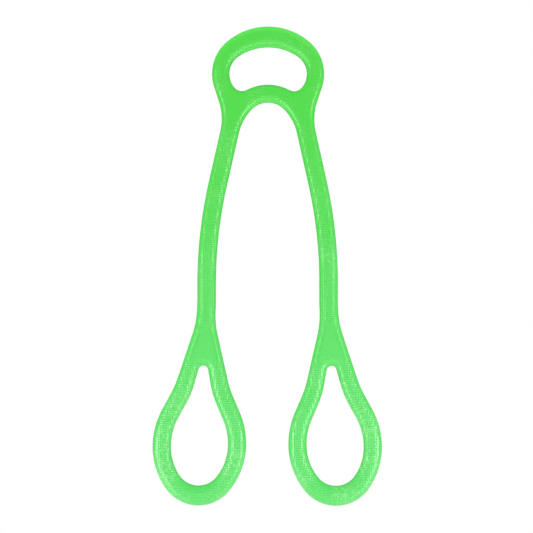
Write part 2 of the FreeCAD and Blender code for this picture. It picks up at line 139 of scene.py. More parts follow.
def eased(corner: Point, before: float, after: float, bend: Bend, radius: float) -> list[Side]:
    """Round a corner of an outline with an arc that touches both of its straights.

    Args:
        corner: where the two straights would meet.
        before: the lean of the straight that leads to it.
        after: the lean of the straight that follows.
        bend: whether the arc bulges or is hollow.
        radius: the arc's radius.

    Returns:
        The side that ends where the arc starts, and the arc.
    """
    reach = radius * tangent((before - after) / 2)
    start, end = leaning(0.0, -reach, before), leaning(0.0, reach, after)
    return [Side(plus(corner, start)), Side(plus(corner, end), bend, radius)]


class Oval(NamedTuple):
    """A quarter of a four-centre oval: its half axes, along X and along Z."""

    half_width: float
    half_height: float

    @property
    def diagonal(self) -> float:
        """The distance between the ends of the two half axes."""
        return math.hypot(self.half_width, self.half_height)

    @property
    def side_radius(self) -> float:
        """The radius of the arc that crosses the X axis."""
        skew = self.half_height - self.half_width
        return (self.diagonal + skew) / 2 * self.diagonal / self.half_width

    @property
    def end_radius(self) -> float:
        """The radius of the arc that crosses the Z axis."""
        skew = self.half_height - self.half_width
        return (self.diagonal - skew) / 2 * self.diagonal / self.half_height

    @property
    def side_centre(self) -> float:
        """Where the centre of the side arc stands on the X axis."""
        return self.half_width - self.side_radius

    @property
    def join(self) -> Point:
        """The point of the quarter where the two arcs meet."""
        along = self.side_centre + self.side_radius * self.half_height / self.diagonal
        return along, self.side_radius * self.half_width / self.diagonal


# --- Bench work: edit-mode tools that every skin is made with ---


class Element(Enum):
    """What a selection in edit mode is made of."""

    VERTEX = "VERT"
    EDGE = "EDGE"
    FACE = "FACE"


class Keep(Enum):
    """Which side of a cutting plane is kept."""

    BOTH = "both"
    BEHIND = "behind"
    AHEAD = "ahead"


class Plane(NamedTuple):
    """A plane square to the moulding: a point on it, and the direction ahead."""

    point: Point
    ahead: Point


def focus(piece: Piece) -> None:
    """Leave edit mode and make the piece the only one selected.

    Args:
        piece: the piece.
    """
    if bpy.context.object and bpy.context.object.mode == "EDIT":
        bpy.ops.object.mode_set(mode="OBJECT")
    bpy.ops.object.select_all(action="DESELECT")
    piece.select_set(True)
    bpy.context.view_layer.objects.active = piece


def edit(piece: Piece) -> None:
    """Go into edit mode on the piece with everything in it selected, as vertices.

    Args:
        piece: the piece.
    """
    focus(piece)
    bpy.ops.object.mode_set(mode="EDIT")
    bpy.ops.mesh.select_mode(type=Element.VERTEX.value)
    bpy.ops.mesh.select_all(action="SELECT")


def pick(element: Element, wanted: Callable[[Any], bool]) -> None:
    """Select what a test says yes to, in the piece that is in edit mode.

    Args:
        element: what to select.
        wanted: the test, which is given each vertex, edge or face.
    """
    bpy.ops.mesh.select_all(action="DESELECT")
    bpy.ops.mesh.select_mode(type=element.value)
    data = bpy.context.object.data
    mesh = bmesh.from_edit_mesh(data)
    pools = {Element.VERTEX: mesh.verts, Element.EDGE: mesh.edges, Element.FACE: mesh.faces}
    for item in [item for item in pools[element] if wanted(item)]:
        item.select_set(True)
    bmesh.update_edit_mesh(data)


def depths(item: Any) -> list[float]:
    """The depth of each vertex of an edge or a face."""
    return [vert.co.y for vert in item.verts]


def lies_on(planes: Sequence[Plane], item: Any) -> bool:
    """Whether an edge or a face lies on one of the planes, with all of its vertices."""
    return any(
        all(abs((vert.co - in_space(plane.point)).dot(in_space(plane.ahead))) < TOUCH for vert in item.verts)
        for plane in planes
    )


def stations_between(across: Callable[[float], Plane], start: float, end: float, pitch: float) -> list[Plane]:
    """The planes that slice a straight stretch evenly, without those at its ends.

    Args:
        across: gives the plane at a distance along the stretch.
        start: where the stretch starts.
        end: where it ends.
        pitch: about how far apart the planes stand.

    Returns:
        The planes, in order.
    """
    steps = round((end - start) / pitch)
    return [across(start + (end - start) * step / steps) for step in range(1, steps)]


def bisect(piece: Piece, plane: Plane, keep: Keep = Keep.BOTH) -> None:
    """Cut the piece along a plane; a cut that drops a side is capped.

    Args:
        piece: the piece to cut.
        plane: the cutting plane.
        keep: the side that stays.
    """
    edit(piece)
    bpy.ops.mesh.bisect(
        plane_co=in_space(plane.point),
        plane_no=in_space(plane.ahead),
        use_fill=keep is not Keep.BOTH,
        clear_inner=keep is Keep.AHEAD,
        clear_outer=keep is Keep.BEHIND,
        threshold=TOUCH,
    )
    bpy.ops.object.mode_set(mode="OBJECT")


def copied(piece: Piece, name: str) -> Piece:
    """A copy of the piece with its own mesh.

    Args:
        piece: the piece to copy.
        name: the name of the copy and its mesh.

    Returns:
        The copy.
    """
    focus(piece)
    bpy.ops.object.duplicate(linked=False)
    copy = bpy.context.object
    copy.name = name
    copy.data.name = name
    return copy


def settled(piece: Piece) -> Piece:
    """Apply the piece's place, turn and scale to its mesh, with its faces outwards.

    Args:
        piece: the piece.

    Returns:
        The same piece.
    """
    focus(piece)
    bpy.ops.object.transform_apply(location=True, rotation=True, scale=True)
    edit(piece)
    bpy.ops.mesh.remove_doubles(threshold=TOUCH)
    bpy.ops.mesh.normals_make_consistent(inside=False)
    bpy.ops.object.mode_set(mode="OBJECT")
    return piece


@dataclass(frozen=True)
class Moulding:
    """Sizes that all of the moulding shares."""

    thickness: float = 15.0 * MM
    edge_round: float = 7.2 * MM
    strap_width: float = 17.2 * MM
    flash_height: float = 0.22 * MM
    flash_taper: float = 0.5
    flat_border: float = 0.35 * MM
    station: float = 2.0 * MM
    round_steps: int = 10
    round_profile: float = 0.5
    smooth_angle: float = 35.0

    @property
    def half_strap(self) -> float:
        """Half of the strap's width."""
        return self.strap_width / 2

    @property
    def half_thickness(self) -> float:
        """Half of the thickness, from the parting plane to a face."""
        return self.thickness / 2

    def finished(self, piece: Piece) -> Piece:
        """Smooth the roundings and leave the flash and the ends crisp.

        Args:
            piece: the shaped piece.

        Returns:
            The same piece.
        """
        settled(piece)
        focus(piece)
        bpy.ops.object.shade_smooth_by_angle(angle=math.radians(self.smooth_angle))
        return piece


@dataclass
class Blank:
    """A rounded length of the moulding, open where its outline is cut.

    The outline is walked from its start with the rubber on the left.
    """

    moulding: Moulding
    name: str
    start: Point
    sides: Sequence[Side]

    @cached_property
    def cuts(self) -> list[Plane]:
        """The planes of the outline's cut sides."""
        starts = [self.start] + [side.end for side in self.sides[:-1]]
        lines = []
        for first, side in zip(starts, self.sides):
            if side.bend is Bend.CUT:
                along = (in_space(side.end) - in_space(first)).normalized()
                lines.append(Plane(first, (along.z, -along.x)))
        return lines

    def worked(self) -> Piece:
        """Draw the outline and work it into shape.

        Returns:
            The new piece.
        """
        piece = self.begun()
        self.draw()
        self.thicken()
        self.round_rims()
        self.raise_flash()
        self.open_cuts()
        self.border_flats()
        bpy.ops.object.mode_set(mode="OBJECT")
        return piece

    def begun(self) -> Piece:
        """Add a plane on the front face and gather it into the outline's first point.

        Returns:
            The new piece, in edit mode.
        """
        bpy.ops.object.select_all(action="DESELECT")
        bpy.ops.mesh.primitive_plane_add(size=self.moulding.station)
        piece = bpy.context.object
        piece.name = piece.data.name = self.name
        edit(piece)
        bpy.ops.mesh.merge(type="CENTER")
        bpy.ops.transform.translate(value=in_space(self.start, -self.moulding.half_thickness))
        return piece

    def draw(self) -> None:
        """Walk round the outline by extruding and spinning the last point, then fill it."""
        here = self.start
        for side in self.sides:
            if side.bend in (Bend.BULGE, Bend.HOLLOW):
                self.draw_arc(here, side)
            else:
                self.draw_line(here, side)
            here = side.end
        bpy.ops.mesh.select_all(action="SELECT")
        bpy.ops.mesh.remove_doubles(threshold=TOUCH)
        bpy.ops.mesh.edge_face_add()

    def draw_line(self, start: Point, side: Side) -> None:
        """Extrude the last point along a straight side, station by station.

        Args:
            start: where the side starts.
            side: the side.
        """
        reach = in_space(side.end) - in_space(start)
        steps = 1 if side.bend is Bend.CUT else max(1, round(reach.length / self.moulding.station))
        for _ in range(steps):
            bpy.ops.mesh.extrude_region_move(TRANSFORM_OT_translate={"value": reach / steps})

    def draw_arc(self, start: Point, side: Side) -> None:
        """Spin the last point round a bulging or a hollow side.

        Args:
            start: where the side starts.
            side: the side.
        """
        chord = in_space(side.end) - in_space(start)
        turn = side.bend.value
        left = Vector((-chord.z, 0.0, chord.x)).normalized()
        leg = math.sqrt(side.radius**2 - (chord.length / 2) ** 2)
        centre = in_space(start, -self.moulding.half_thickness) + chord / 2 + left * leg * turn
        sweep = 2 * math.asin(chord.length / 2 / side.radius)
        steps = max(2, round(sweep * side.radius / self.moulding.station))
        bpy.ops.mesh.spin(steps=steps, angle=sweep * turn, center=centre, axis=SPIN_AXIS)

    def thicken(self) -> None:
        """Extrude the filled outline from the front face through to the back."""
        through = (0.0, self.moulding.thickness, 0.0)
        bpy.ops.mesh.select_all(action="SELECT")
        bpy.ops.mesh.extrude_region_move(TRANSFORM_OT_translate={"value": through})
        bpy.ops.mesh.select_all(action="SELECT")
        bpy.ops.mesh.normals_make_consistent(inside=False)

    def round_rims(self) -> None:
        """Bevel the front and back rims into full roundings, except along the cuts."""
        face = self.moulding.half_thickness - TOUCH
        pick(
            Element.EDGE,
            lambda edge: (min(depths(edge)) > face or max(depths(edge)) < -face)
            and not lies_on(self.cuts, edge),
        )
        bpy.ops.mesh.bevel(
            offset=self.moulding.edge_round,
            segments=self.moulding.round_steps,
            profile=self.moulding.round_profile,
            affect="EDGES",
            clamp_overlap=False,
        )

    def raise_flash(self) -> None:
        """Raise the thin flash that the two halves of the mould leave round the edge."""
        band = self.moulding.half_thickness - self.moulding.edge_round + TOUCH
        pick(
            Element.FACE,
            lambda face: max(map(abs, depths(face))) < band and not lies_on(self.cuts, face),
        )
        rise = {"value": self.moulding.flash_height, "use_even_offset": True}
        bpy.ops.mesh.extrude_region_shrink_fatten(TRANSFORM_OT_shrink_fatten=rise)
        taper = (1.0, self.moulding.flash_taper, 1.0)
        bpy.ops.transform.resize(value=taper, center_override=(0.0, 0.0, 0.0))

    def open_cuts(self) -> None:
        """Take away the walls that stand on the cuts."""
        pick(Element.FACE, lambda face: lies_on(self.cuts, face))
        bpy.ops.mesh.delete(type="FACE")

    def border_flats(self) -> None:
        """Inset the flat faces a little, so that they stay flat where the rounding starts."""
        flat = self.moulding.half_thickness - TOUCH
        pick(Element.FACE, lambda face: min(map(abs, depths(face))) > flat)
        bpy.ops.mesh.inset(thickness=self.moulding.flat_border, depth=0.0, use_boundary=False)


def mirrored_across(piece: Piece) -> Piece:
    """Complete a half-made piece with its mirror image across its own YZ plane.

    Args:
        piece: the half-made piece.

    Returns:
        The same piece, whole.
    """
    focus(piece)
    bpy.ops.object.modifier_add(type="MIRROR")
    mirror = piece.modifiers[-1]
    mirror.use_axis = (True, False, False)
    mirror.use_mirror_merge = True
    mirror.merge_threshold = TOUCH
    bpy.ops.object.modifier_apply(modifier=mirror.name)
    return piece


# --- Hands, seams and the line of the strap ---


class Hand(Enum):
    """The two sides of the moulding; the value is the sign of their X."""

    LEFT = -1
    RIGHT = 1

    @property
    def word(self) -> str:
        """The hand's name as it stands in the frame's names."""
        return self.name.lower()

    def place(self, point: Point) -> Vector:
        """A point of the right-hand side, moved to this hand's side."""
        return in_space((point[0] * self.value, point[1]))


@dataclass(frozen=True)
class StrapLine:
    """The strap's middle line on the right-hand side, from the hip down to the tilt axis."""

    hip: Point = (37.9 * MM, -87.9 * MM)
    lean: float = 12.7
    thigh_length: float = 41.3 * MM
    bend_radius: float = 430.0 * MM
    shank_length: float = 20.0 * MM
    hip_seam: float = -15.0 * MM
    thigh_seam: float = 17.2 * MM
    stretch_seam_angle: float = 9.64
    shank_seam_angle: float = 3.2
    ankle_seam: float = 13.0 * MM

    @property
    def fold(self) -> Point:
        """The fold axis, where the straight top of the strap ends."""
        return self.on_thigh(self.thigh_length)

    @property
    def bend_centre(self) -> Point:
        """The centre of the strap's long bend."""
        return plus(self.fold, polar(-self.bend_radius, self.lean))

    @property
    def tilt(self) -> Point:
        """The tilt axis, at the end of the strap."""
        return plus(self.on_bend(0.0), (0.0, -self.shank_length))

    def on_thigh(self, down: float) -> Point:
        """A point of the straight top of the strap, at a distance down from the hip."""
        return plus(self.hip, leaning(0.0, -down, self.lean))

    def on_bend(self, angle: float, out: float = 0.0) -> Point:
        """A point of the long bend, at an angle above its lower end and a distance outwards."""
        return plus(self.bend_centre, polar(self.bend_radius + out, angle))

    def thigh_plane(self, down: float) -> Plane:
        """The plane across the straight top of the strap, with the way down ahead."""
        return Plane(self.on_thigh(down), leaning(0.0, -1.0, self.lean))

    def bend_plane(self, angle: float) -> Plane:
        """The plane across the long bend at an angle, with the way down ahead."""
        return Plane(self.on_bend(angle), leaning(0.0, -1.0, angle))

    def shank_plane(self, above_tilt: float) -> Plane:
        """The plane across the upright end of the strap, with the way down ahead."""
        return Plane(plus(self.tilt, (0.0, above_tilt)), (0.0, -1.0))


# --- Skins ---


@dataclass
class Grip:
    """The hand grip with its kidney-shaped opening, and the hips below it."""

    moulding: Moulding
    strap: StrapLine
    width: float = 105.3 * MM
    rise: float = 44.5 * MM
    crown_width: float = 19.3 * MM
    side_width: float = 15.95 * MM
    flank_lean: float = 18.0
    waist_radius: float = 52.0 * MM
    bridge_sag: float = 10.3 * MM
    bridge_top_radius: float = 43.0 * MM
    bridge_width: float = 16.6 * MM
    corner_radius: float = 9.5 * MM
    crotch_ease: float = 3.73 * MM
    crotch_side_radius: float = 48.0 * MM
    overrun: float = 4.0 * MM

    @property
    def spring_level(self) -> float:
        """The level of the grip's widest points."""
        return self.crown_width - self.rise

    @property
    def outer(self) -> Oval:
        """The upper half of the grip's outside."""
        return Oval(self.width / 2, self.rise)

    @property
    def inner(self) -> Oval:
        """The upper half of the hand opening."""
        return Oval(self.width / 2 - self.side_width, self.rise - self.crown_width)

    @property
    def hump(self) -> Point:
        """The centre of the bridge's hump."""
        return 0.0, self.spring_level - self.bridge_sag - self.bridge_top_radius

    @property
    def crotch_top(self) -> float:
        """The level of the underside of the bridge."""
        return self.spring_level - self.bridge_sag - self.bridge_width

    def at_spring(self, point: Point) -> Point:
        """A point given from the level of the widest points."""
        return plus(point, (0.0, self.spring_level))

    def waist(self) -> list[Side]:
        """The hollow outside edge from the strap up to the grip's widest point.

        Returns:
            The sides, from the strap up.
        """
        lean, flank = self.strap.lean, self.flank_lean
        outer, spring = self.outer, self.spring_level
        offset = (
            self.moulding.half_strap
            + (self.strap.hip[0] - outer.side_centre) * cosine(lean)
            + (self.strap.hip[1] - spring) * sine(lean)
        )
        spread = sine(flank + lean)
        corner = (
            outer.side_centre + (outer.side_radius * sine(lean) + offset * sine(flank)) / spread,
            spring + (offset * cosine(flank) - outer.side_radius * cosine(lean)) / spread,
        )
        return [
            *eased(corner, lean, -flank, Bend.HOLLOW, self.waist_radius),
            Side(self.at_spring(plus((outer.side_centre, 0.0), polar(outer.side_radius, -flank)))),
            Side((outer.half_width, spring), Bend.BULGE, outer.side_radius),
        ]

    def corner(self) -> list[Side]:
        """The lower corner of the hand opening, down from its widest point and onto the hump.

        Returns:
            The sides, down to the middle of the hump.
        """
        inner, spring = self.inner, self.spring_level
        from_side = inner.side_radius - self.corner_radius
        from_hump = self.bridge_top_radius + self.corner_radius
        depth = spring - self.hump[1]
        distance = math.hypot(inner.side_centre, depth)
        along = (from_side**2 - from_hump**2 + distance**2) / (2 * distance)
        across = math.sqrt(from_side**2 - along**2)
        centre = (
            inner.side_centre + (across * depth - along * inner.side_centre) / distance,
            spring - (along * depth + across * inner.side_centre) / distance,
        )
        on_side = toward((inner.side_centre, spring), centre, inner.side_radius / from_side)
        on_hump = toward(self.hump, centre, self.bridge_top_radius / from_hump)
        return [
            Side(on_side, Bend.HOLLOW, inner.side_radius),
            Side(on_hump, Bend.HOLLOW, self.corner_radius),
            Side((0.0, self.hump[1] + self.bridge_top_radius), Bend.BULGE, self.bridge_top_radius),
        ]

    def crotch(self) -> list[Side]:
        """The underside of the bridge, from its middle down the inside edge of the strap.

        Returns:
            The sides, from the middle down.
        """
        lean, side_radius = self.strap.lean, self.crotch_side_radius
        hip_drop = self.crotch_top - self.strap.hip[1]
        gap = self.strap.hip[0] * cosine(lean) - hip_drop * sine(lean) - self.moulding.half_strap
        radius = (gap - self.crotch_ease) / (1 - sine(lean))
        centre = (0.0, self.crotch_top - radius)
        back = side_radius - radius - self.crotch_ease
        down = math.sqrt((side_radius - radius) ** 2 - back**2)
        to_side = (down * sine(lean) - back * cosine(lean), -back * sine(lean) - down * cosine(lean))
        share = radius / (side_radius - radius)
        side_centre = plus(centre, to_side)
        return [
            Side(onward(centre, to_side, -share), Bend.HOLLOW, radius),
            Side(plus(side_centre, polar(side_radius, lean)), Bend.HOLLOW, side_radius),
        ]

    def outline(self) -> tuple[Point, list[Side]]:
        """The right half of the grip, down to just past the seam below the hip.

        Returns:
            The first point and the sides.
        """
        lean, half = self.strap.lean, self.moulding.half_strap
        foot = self.strap.on_thigh(self.strap.thigh_seam + self.overrun)
        outer_foot = plus(foot, leaning(half, 0.0, lean))
        inner_foot = plus(foot, leaning(-half, 0.0, lean))
        outer, inner = self.outer, self.inner
        sides = [
            *self.waist(),
            Side(self.at_spring(outer.join), Bend.BULGE, outer.side_radius),
            Side((0.0, self.crown_width), Bend.BULGE, outer.end_radius),
            Side((0.0, 0.0), Bend.CUT),
            Side(self.at_spring(inner.join), Bend.HOLLOW, inner.end_radius),
            Side((inner.half_width, self.spring_level), Bend.HOLLOW, inner.side_radius),
            *self.corner(),
            Side((0.0, self.crotch_top), Bend.CUT),
            *self.crotch(),
            Side(inner_foot),
            Side(outer_foot, Bend.CUT),
        ]
        return outer_foot, sides

    def build(self) -> tuple[Piece, Piece]:
        """Work the half blank, part it at the hip seam and mirror the grip.

        Returns:
            The grip's skin, and the right hip's skin.
        """
        grip = Blank(self.moulding, "grip_skin", *self.outline()).worked()
        hip = copied(grip, "right_hip_skin")
        seam = self.strap.thigh_plane(self.strap.hip_seam)
        bisect(grip, seam, Keep.BEHIND)
        bisect(hip, seam, Keep.AHEAD)
        bisect(hip, self.strap.thigh_plane(self.strap.thigh_seam), Keep.BEHIND)
        line, station = self.strap, self.moulding.station
        for plane in stations_between(line.thigh_plane, line.hip_seam, line.thigh_seam, station):
            bisect(hip, plane)
        mirrored_across(grip)
        return self.moulding.finished(grip), self.moulding.finished(hip)


@dataclass
class Strap:
    """The strap between the hip and the ankle, parted into the stretches that move apart."""

    moulding: Moulding
    line: StrapLine
    overrun: float = 3.0 * MM
    bend_step: float = 0.28

    def outline(self) -> tuple[Point, list[Side]]:
        """Both edges of the strap, from above the thigh seam to below the ankle seam.

        Returns:
            The first point and the sides.
        """
        line, half = self.line, self.moulding.half_strap
        top = line.on_thigh(line.thigh_seam - self.overrun)
        foot = plus(line.tilt, (0.0, line.ankle_seam - self.overrun))
        outer_top = plus(top, leaning(half, 0.0, line.lean))
        inner_top = plus(top, leaning(-half, 0.0, line.lean))
        sides = [
            Side(line.on_bend(0.0, half)),
            Side(line.on_bend(line.lean, half), Bend.BULGE, line.bend_radius + half),
            Side(outer_top),
            Side(inner_top, Bend.CUT),
            Side(line.on_bend(line.lean, -half)),
            Side(line.on_bend(0.0, -half), Bend.HOLLOW, line.bend_radius - half),
            Side(plus(foot, (-half, 0.0))),
            Side(plus(foot, (half, 0.0)), Bend.CUT),
        ]
        return plus(foot, (half, 0.0)), sides

    def stations(self) -> list[Plane]:
        """The planes that slice the strap, evenly down its whole length.

        Returns:
            The planes, from the top down.
        """
        line, station = self.line, self.moulding.station
        steps = round(line.lean / self.bend_step)
        return [
            *stations_between(line.thigh_plane, line.thigh_seam, line.thigh_length, station),
            *(line.bend_plane(line.lean * step / steps) for step in range(steps, -1, -1)),
            *stations_between(line.shank_plane, line.ankle_seam, line.shank_length, station),
        ]

    def build(self) -> list[Piece]:
        """Work the right strap and part it at its seams.

        Returns:
            The skins of the thigh, the stretch and the shank, from the top down.
        """
        blank = Blank(self.moulding, "right_strap_blank", *self.outline()).worked()
        for plane in self.stations():
            bisect(blank, plane)
        line = self.line
        seams = [
            line.thigh_plane(line.thigh_seam),
            line.bend_plane(line.stretch_seam_angle),
            line.bend_plane(line.shank_seam_angle),
            line.shank_plane(line.ankle_seam),
        ]
        pieces = []
        for name, upper, lower in zip(("thigh", "stretch", "shank"), seams, seams[1:]):
            piece = copied(blank, f"right_{name}_skin")
            bisect(piece, upper, Keep.AHEAD)
            bisect(piece, lower, Keep.BEHIND)
            pieces.append(self.moulding.finished(piece))
        bpy.data.objects.remove(blank)
        return pieces


@dataclass
class Loop:
    """The teardrop loop and its neck, drawn upright about its own widest level and then leant."""

    moulding: Moulding
    strap: StrapLine
    lean: float = 2.8
    drop: float = 133.0 * MM
    width: float = 87.8 * MM
    toe_drop: float = 56.5 * MM
    ring_width: float = 16.85 * MM
    toe_width: float = 18.5 * MM
    fullness: float = 1.463
    flare_drop: float = 17.1 * MM
    flare_bend_drop: float = 78.4 * MM
    flare_bend_spread: float = 25.7 * MM
    flare_radius: float = 85.0 * MM
    flare_bend_radius: float = 92.0 * MM
    fork_bend_rise: float = 48.3 * MM
    fork_bend_radius: float = 90.0 * MM
    fork_top_rise: float = 75.6 * MM
    fork_round: float = 4.86 * MM
    ankle_bend_radius: float = 150.0 * MM
    ankle_bend_steps: int = 4

    @property
    def outer(self) -> Oval:
        """The outside of the loop below its widest level."""
        return Oval(self.width / 2, self.toe_drop)

    @property
    def eye(self) -> Oval:
        """The loop's opening below its widest level."""
        return Oval(self.width / 2 - self.ring_width, self.toe_drop - self.toe_width)

    @property
    def flare_bend(self) -> Point:
        """The corner of the flare where it turns into the ring."""
        return self.flare_bend_spread, self.drop - self.flare_bend_drop

    @property
    def ring_lean(self) -> float:
        """The lean of the ring's shoulder, from upright."""
        spread = self.outer.half_width - self.flare_bend_spread
        return math.degrees(math.atan(self.fullness * spread / self.flare_bend[1]))

    @property
    def ring_radius(self) -> float:
        """The radius of the ring's outside above its widest level."""
        lean = self.ring_lean
        reach = self.flare_bend[0] * cosine(lean) + self.flare_bend[1] * sine(lean)
        return (reach - self.outer.half_width * cosine(lean)) / (1 - cosine(lean))

    @property
    def ring_centre(self) -> Point:
        """The centre of the ring above its widest level."""
        return self.outer.half_width - self.ring_radius, 0.0

    @property
    def ankle_trim(self) -> float:
        """How far below the tilt axis the neck starts to turn upright."""
        return self.ankle_bend_radius * tangent(self.lean / 2)

    def shoulder(self) -> list[Side]:
        """The outside edge from the widest level up the flare to the neck.

        Returns:
            The sides, from the widest level up.
        """
        half, bend, lean = self.moulding.half_strap, self.flare_bend, self.ring_lean
        flare = (half, self.drop - self.flare_drop)
        flare_lean = math.degrees(math.atan((bend[0] - half) / (flare[1] - bend[1])))
        return [
            Side(plus(self.ring_centre, polar(self.ring_radius, lean)), Bend.BULGE, self.ring_radius),
            *eased(bend, lean, flare_lean, Bend.HOLLOW, self.flare_bend_radius),
            *eased(flare, flare_lean, 0.0, Bend.HOLLOW, self.flare_radius),
            Side((half, self.drop - self.ankle_trim)),
        ]

    def crutch(self) -> list[Side]:
        """The edge of the loop's opening from its top down to the widest level.

        Returns:
            The sides, from the top down.
        """
        lean = self.ring_lean
        inner_radius = self.ring_radius - self.ring_width
        spread = (
            self.ring_centre[0] * cosine(lean) + inner_radius - self.fork_bend_rise * sine(lean)
        ) / cosine(lean)
        round_centre = (0.0, self.fork_top_rise - self.fork_round)
        height = round_centre[1] - self.fork_bend_rise
        slant = math.hypot(spread, height)
        fork_lean = math.degrees(math.atan(spread / height) - math.asin(self.fork_round / slant))
        bend = (spread, self.fork_bend_rise)
        return [
            Side(plus(round_centre, polar(self.fork_round, fork_lean)), Bend.HOLLOW, self.fork_round),
            *eased(bend, fork_lean, lean, Bend.BULGE, self.fork_bend_radius),
            Side(plus(self.ring_centre, polar(inner_radius, lean))),
            Side((self.eye.half_width, 0.0), Bend.HOLLOW, inner_radius),
        ]

    def outline(self) -> tuple[Point, list[Side]]:
        """Half of the loop, from the bottom of the toe up the outside and down the opening.

        Returns:
            The first point and the sides.
        """
        outer, eye = self.outer, self.eye
        toe = (0.0, -outer.half_height)
        sides = [
            Side((outer.join[0], -outer.join[1]), Bend.BULGE, outer.end_radius),
            Side((outer.half_width, 0.0), Bend.BULGE, outer.side_radius),
            *self.shoulder(),
            Side((0.0, self.drop - self.ankle_trim), Bend.CUT),
            Side((0.0, self.fork_top_rise), Bend.CUT),
            *self.crutch(),
            Side((eye.join[0], -eye.join[1]), Bend.HOLLOW, eye.side_radius),
            Side((0.0, -eye.half_height), Bend.HOLLOW, eye.end_radius),
            Side(toe, Bend.CUT),
        ]
        return toe, sides

    def build(self) -> Piece:
        """Work half a loop, mirror it, lean it and turn its neck up to the ankle seam.

        Returns:
            The right loop's skin.
        """
        loop = Blank(self.moulding, "right_loop_skin", *self.outline()).worked()
        mirrored_across(loop)
        tilt = self.strap.tilt
        loop.rotation_euler = (0.0, -math.radians(self.lean), 0.0)
        loop.location = in_space(plus(tilt, leaning(0.0, -self.drop, self.lean)))
        settled(loop)
        self.turn_neck(loop)
        return self.moulding.finished(loop)

    def turn_neck(self, loop: Piece) -> None:
        """Spin the open neck upright, extrude it to the ankle seam and slice it.

        Args:
            loop: the leant loop, open at its neck.
        """
        tilt = self.strap.tilt
        rim = Plane(plus(tilt, leaning(0.0, -self.ankle_trim, self.lean)), leaning(0.0, 1.0, self.lean))
        edit(loop)
        pick(Element.EDGE, lambda edge: lies_on([rim], edge))
        centre = in_space(plus(rim.point, leaning(self.ankle_bend_radius, 0.0, self.lean)))
        turn = -math.radians(self.lean)
        bpy.ops.mesh.spin(steps=self.ankle_bend_steps, angle=turn, center=centre, axis=SPIN_AXIS)
        # One step more than reaches the seam, so that the cut there has rubber to cap.
        straight = self.strap.ankle_seam - self.ankle_trim
        steps = round(straight / self.moulding.station)
        for _ in range(steps + 1):
            bpy.ops.mesh.extrude_region_move(TRANSFORM_OT_translate={"value": (0.0, 0.0, straight / steps)})
        bisect(loop, self.strap.shank_plane(self.strap.ankle_seam), Keep.AHEAD)
        slices = round(self.strap.ankle_seam / self.moulding.station)
        for index in range(1, slices + 2):
            down = self.ankle_trim + self.moulding.station * index
            point = plus(tilt, leaning(0.0, -down, self.lean))
            bisect(loop, Plane(point, leaning(0.0, -1.0, self.lean)))


# --- Finishes ---


class Number:
    """A shader socket that carries a number, with arithmetic that adds Math nodes."""

    def __init__(self, graph: "Graph", socket: Socket) -> None:
        """Wrap a socket of a graph."""
        self.graph = graph
        self.socket = socket

    def maths(self, operation: str, *terms: "Term") -> "Number":
        """Add a Math node over the terms and return its result."""
        return self.graph.number("ShaderNodeMath", {"operation": operation}, dict(enumerate(terms)))

    def __add__(self, other: "Term") -> "Number":
        """Add."""
        return self.maths("ADD", self, other)

    __radd__ = __add__

    def __sub__(self, other: "Term") -> "Number":
        """Subtract."""
        return self.maths("SUBTRACT", self, other)

    def __rsub__(self, other: "Term") -> "Number":
        """Subtract this from a plain number."""
        return self.maths("SUBTRACT", other, self)

    def __mul__(self, other: "Term") -> "Number":
        """Multiply."""
        return self.maths("MULTIPLY", self, other)

    __rmul__ = __mul__

    def magnitude(self) -> "Number":
        """The value without its sign."""
        return self.maths("ABSOLUTE", self)

    def wave(self) -> "Number":
        """The cosine of the value, in radians."""
        return self.maths("COSINE", self)

    def between(self, band: Band) -> "Number":
        """Ease from 0 at the start of the band to 1 at its end."""
        inputs = {"Value": self, "From Min": band[0], "From Max": band[1]}
        return self.graph.number("ShaderNodeMapRange", {"interpolation_type": "SMOOTHSTEP"}, inputs)


Term = Union[Number, float]


class Noise(NamedTuple):
    """A noise: its scale in cycles a metre, and its detail."""

    scale: float
    detail: float


class Graph:
    """The node tree of a material or a world."""

    def __init__(self, tree: bpy.types.NodeTree) -> None:
        """Empty the tree."""
        self.tree = tree
        tree.nodes.clear()

    def node(self, kind: str, settings: dict[str, Any], inputs: dict[Any, Any]) -> bpy.types.Node:
        """Add a node.

        Args:
            kind: the node's type.
            settings: its properties, which are set first.
            inputs: a value, a socket or a Number for each input, by name or index.

        Returns:
            The new node.
        """
        node = self.tree.nodes.new(kind)
        for name, value in settings.items():
            setattr(node, name, value)
        for key, value in inputs.items():
            socket = value.socket if isinstance(value, Number) else value
            if isinstance(socket, Socket):
                self.tree.links.new(socket, node.inputs[key])
            else:
                node.inputs[key].default_value = socket
        return node

    def number(self, kind: str, settings: dict[str, Any], inputs: dict[Any, Any]) -> Number:
        """Add a node whose first output is a number, and wrap that output."""
        return Number(self, self.node(kind, settings, inputs).outputs[0])

    def place(self, attribute: str = "") -> tuple[Socket, Number, Number, Number]:
        """A place on the surface, whole and as its three numbers.

        Args:
            attribute: the mesh's own attribute that holds the place, or nothing for the
                Object coordinates.

        Returns:
            The place, then its x, y and z.
        """
        if attribute:
            settings = {"attribute_type": "GEOMETRY", "attribute_name": attribute}
            whole = self.node("ShaderNodeAttribute", settings, {}).outputs["Vector"]
        else:
            whole = self.node("ShaderNodeTexCoord", {}, {}).outputs["Object"]
        parts = self.node("ShaderNodeSeparateXYZ", {}, {0: whole}).outputs
        return whole, *(Number(self, part) for part in parts)

    def noise(self, where: Socket, noise: Noise) -> Number:
        """A noise from 0 to 1 over a place."""
        inputs = {"Vector": where, "Scale": noise.scale, "Detail": noise.detail}
        return self.number("ShaderNodeTexNoise", {}, inputs)

    def mixed(self, share: Term, first: Any, second: Any) -> Socket:
        """A colour between two colours."""
        inputs = {"Factor": share, 6: first, 7: second}
        return self.node("ShaderNodeMix", {"data_type": "RGBA"}, inputs).outputs[2]


